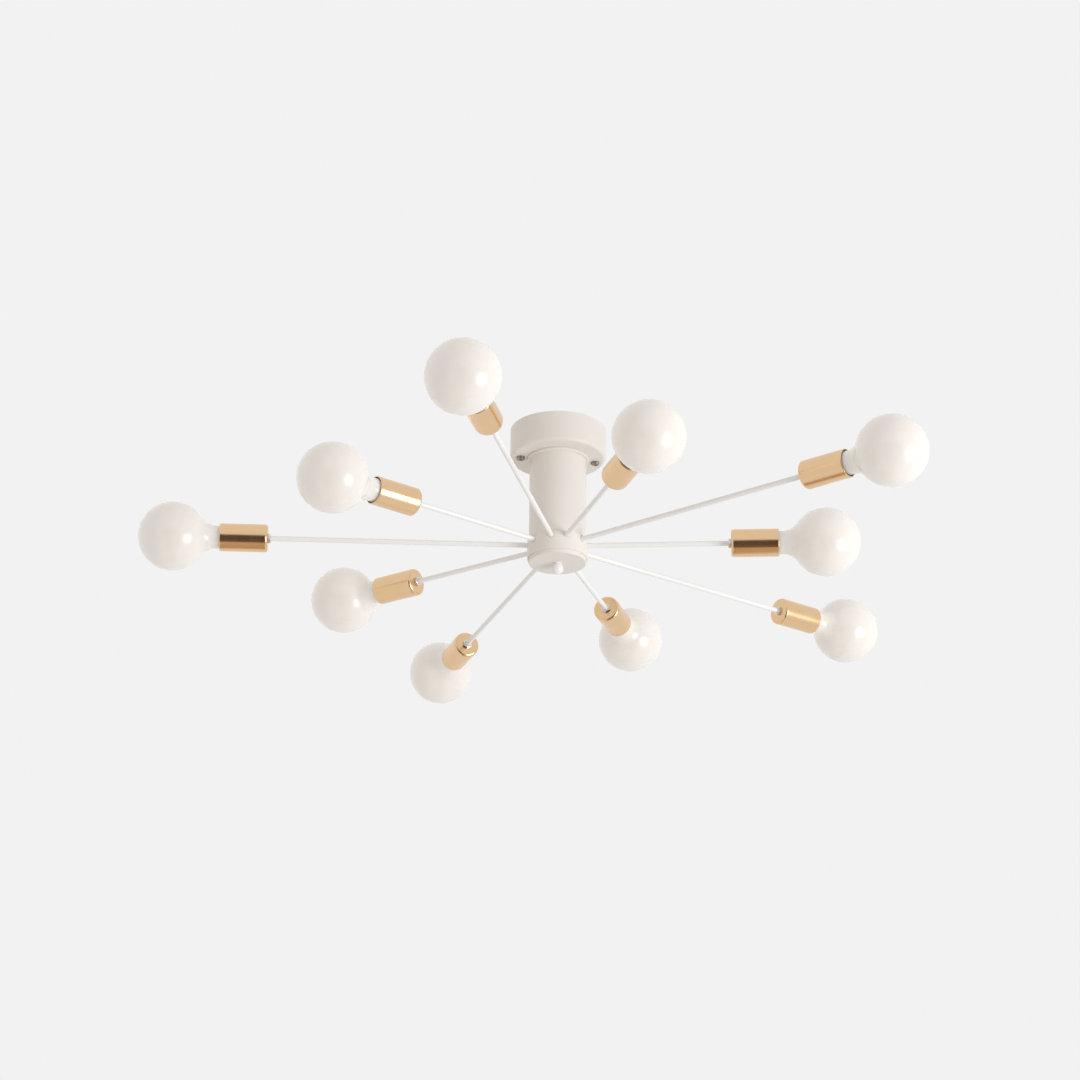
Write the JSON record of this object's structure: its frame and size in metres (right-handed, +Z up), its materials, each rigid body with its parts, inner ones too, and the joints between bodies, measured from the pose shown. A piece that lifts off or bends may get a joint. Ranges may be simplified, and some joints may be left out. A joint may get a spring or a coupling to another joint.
{
  "type": "ceiling light",
  "caption": "Semi-flush ceiling light: a round canopy and short wide stem carry thin radial arms, long and short by turns, each with a gold cup and an opal globe lamp.",
  "frame": {"origin": "On the ceiling plane, on the stem's axis, midway between the bracket's two ceiling slots.", "axes": "+Z is up into the ceiling, +X runs along the mounting bracket through both canopy screws, and the arms lie level in one plane below."},
  "size_m": [0.922, 0.935, 0.188],
  "materials": {
    "white_paint": "warm white powder coat, satin",
    "polished_gold": "polished champagne gold plating",
    "opal_glass": "opal white glass, smooth",
    "black_phenolic": "moulded, satin",
    "nickel": "bright nickel plating",
    "zinc_steel": "zinc-plated steel strip",
    "dark_steel": "dark plated screws",
    "wire_insulation": "white insulation"
  },
  "bodies": {
    "fixture": {"canopy": "white_paint", "canopy_screws": "dark_steel", "mounting_bracket": "zinc_steel", "stem_tube": "white_paint", "hub_ring": "white_paint", "bottom_cap": "white_paint", "finial_bolt": "white_paint", "lampholders": "black_phenolic", "jam_nuts": "nickel", "wiring": "wire_insulation", "arm_tube_01": "white_paint", "socket_cup_01": "polished_gold", "arm_tube_02": "white_paint", "socket_cup_02": "polished_gold", "arm_tube_03": "white_paint", "socket_cup_03": "polished_gold", "arm_tube_04": "white_paint", "socket_cup_04": "polished_gold", "arm_tube_05": "white_paint", "socket_cup_05": "polished_gold", "arm_tube_06": "white_paint", "socket_cup_06": "polished_gold", "arm_tube_07": "white_paint", "socket_cup_07": "polished_gold", "arm_tube_08": "white_paint", "socket_cup_08": "polished_gold", "arm_tube_09": "white_paint", "socket_cup_09": "polished_gold", "arm_tube_10": "white_paint", "socket_cup_10": "polished_gold"},
    "bulb_01_contact": {"bulb_contact_01": "nickel"},
    "bulb_01": {"bulb_cap_01": "nickel", "bulb_globe_01": "opal_glass"},
    "bulb_02_contact": {"bulb_contact_02": "nickel"},
    "bulb_02": {"bulb_cap_02": "nickel", "bulb_globe_02": "opal_glass"},
    "bulb_03_contact": {"bulb_contact_03": "nickel"},
    "bulb_03": {"bulb_cap_03": "nickel", "bulb_globe_03": "opal_glass"},
    "bulb_04_contact": {"bulb_contact_04": "nickel"},
    "bulb_04": {"bulb_cap_04": "nickel", "bulb_globe_04": "opal_glass"},
    "bulb_05_contact": {"bulb_contact_05": "nickel"},
    "bulb_05": {"bulb_cap_05": "nickel", "bulb_globe_05": "opal_glass"},
    "bulb_06_contact": {"bulb_contact_06": "nickel"},
    "bulb_06": {"bulb_cap_06": "nickel", "bulb_globe_06": "opal_glass"},
    "bulb_07_contact": {"bulb_contact_07": "nickel"},
    "bulb_07": {"bulb_cap_07": "nickel", "bulb_globe_07": "opal_glass"},
    "bulb_08_contact": {"bulb_contact_08": "nickel"},
    "bulb_08": {"bulb_cap_08": "nickel", "bulb_globe_08": "opal_glass"},
    "bulb_09_contact": {"bulb_contact_09": "nickel"},
    "bulb_09": {"bulb_cap_09": "nickel", "bulb_globe_09": "opal_glass"},
    "bulb_10_contact": {"bulb_contact_10": "nickel"},
    "bulb_10": {"bulb_cap_10": "nickel", "bulb_globe_10": "opal_glass"}
  },
  "joints": [
    {"name": "bulb_01_advance", "type": "slide", "parent": "fixture", "child": "bulb_01_contact", "axis": [0.9789, -0.2045, 0], "range_m": [0, 0.01834]},
    {"name": "bulb_01_turn", "type": "hinge", "parent": "bulb_01_contact", "child": "bulb_01", "pos_m": [0.30541, -0.0638, -0.148], "axis": [0.9789, -0.2045, 0], "range_deg": [0, 1800]},
    {"name": "bulb_02_advance", "type": "slide", "parent": "fixture", "child": "bulb_02_contact", "axis": [0.8886, 0.4586, 0], "range_m": [0, 0.01834]},
    {"name": "bulb_02_turn", "type": "hinge", "parent": "bulb_02_contact", "child": "bulb_02", "pos_m": [0.39721, 0.20502, -0.148], "axis": [0.8886, 0.4586, 0], "range_deg": [0, 1800]},
    {"name": "bulb_03_advance", "type": "slide", "parent": "fixture", "child": "bulb_03_contact", "axis": [0.4384, 0.8988, 0], "range_m": [0, 0.01834]},
    {"name": "bulb_03_turn", "type": "hinge", "parent": "bulb_03_contact", "child": "bulb_03", "pos_m": [0.13677, 0.28042, -0.148], "axis": [0.4384, 0.8988, 0], "range_deg": [0, 1800]},
    {"name": "bulb_04_advance", "type": "slide", "parent": "fixture", "child": "bulb_04_contact", "axis": [-0.1942, 0.981, 0], "range_m": [0, 0.01834]},
    {"name": "bulb_04_turn", "type": "hinge", "parent": "bulb_04_contact", "child": "bulb_04", "pos_m": [-0.08682, 0.43849, -0.148], "axis": [-0.1942, 0.981, 0], "range_deg": [0, 1800]},
    {"name": "bulb_05_advance", "type": "slide", "parent": "fixture", "child": "bulb_05_contact", "axis": [-0.7443, 0.6678, 0], "range_m": [0, 0.01834]},
    {"name": "bulb_05_turn", "type": "hinge", "parent": "bulb_05_contact", "child": "bulb_05", "pos_m": [-0.23223, 0.20836, -0.148], "axis": [-0.7443, 0.6678, 0], "range_deg": [0, 1800]},
    {"name": "bulb_06_advance", "type": "slide", "parent": "fixture", "child": "bulb_06_contact", "axis": [-0.9951, 0.0993, 0], "range_m": [0, 0.01834]},
    {"name": "bulb_06_turn", "type": "hinge", "parent": "bulb_06_contact", "child": "bulb_06", "pos_m": [-0.44479, 0.0444, -0.148], "axis": [-0.9951, 0.0993, 0], "range_deg": [0, 1800]},
    {"name": "bulb_07_advance", "type": "slide", "parent": "fixture", "child": "bulb_07_contact", "axis": [-0.8796, -0.4756, 0], "range_m": [0, 0.01834]},
    {"name": "bulb_07_turn", "type": "hinge", "parent": "bulb_07_contact", "child": "bulb_07", "pos_m": [-0.27445, -0.14839, -0.148], "axis": [-0.8796, -0.4756, 0], "range_deg": [0, 1800]},
    {"name": "bulb_08_advance", "type": "slide", "parent": "fixture", "child": "bulb_08_contact", "axis": [-0.3633, -0.9317, 0], "range_m": [0, 0.01834]},
    {"name": "bulb_08_turn", "type": "hinge", "parent": "bulb_08_contact", "child": "bulb_08", "pos_m": [-0.16237, -0.41647, -0.148], "axis": [-0.3633, -0.9317, 0], "range_deg": [0, 1800]},
    {"name": "bulb_09_advance", "type": "slide", "parent": "fixture", "child": "bulb_09_contact", "axis": [0.1633, -0.9866, 0], "range_m": [0, 0.01834]},
    {"name": "bulb_09_turn", "type": "hinge", "parent": "bulb_09_contact", "child": "bulb_09", "pos_m": [0.05096, -0.30781, -0.148], "axis": [0.1633, -0.9866, 0], "range_deg": [0, 1800]},
    {"name": "bulb_10_advance", "type": "slide", "parent": "fixture", "child": "bulb_10_contact", "axis": [0.7059, -0.7083, 0], "range_m": [0, 0.01834]},
    {"name": "bulb_10_turn", "type": "hinge", "parent": "bulb_10_contact", "child": "bulb_10", "pos_m": [0.31552, -0.31663, -0.148], "axis": [0.7059, -0.7083, 0], "range_deg": [0, 1800]}
  ],
  "couplings": [
    {"joint": "bulb_01_advance", "follows": "bulb_01_turn", "m_per_rad": 0.0005775},
    {"joint": "bulb_02_advance", "follows": "bulb_02_turn", "m_per_rad": 0.0005775},
    {"joint": "bulb_03_advance", "follows": "bulb_03_turn", "m_per_rad": 0.0005775},
    {"joint": "bulb_04_advance", "follows": "bulb_04_turn", "m_per_rad": 0.0005775},
    {"joint": "bulb_05_advance", "follows": "bulb_05_turn", "m_per_rad": 0.0005775},
    {"joint": "bulb_06_advance", "follows": "bulb_06_turn", "m_per_rad": 0.0005775},
    {"joint": "bulb_07_advance", "follows": "bulb_07_turn", "m_per_rad": 0.0005775},
    {"joint": "bulb_08_advance", "follows": "bulb_08_turn", "m_per_rad": 0.0005775},
    {"joint": "bulb_09_advance", "follows": "bulb_09_turn", "m_per_rad": 0.0005775},
    {"joint": "bulb_10_advance", "follows": "bulb_10_turn", "m_per_rad": 0.0005775}
  ]
}
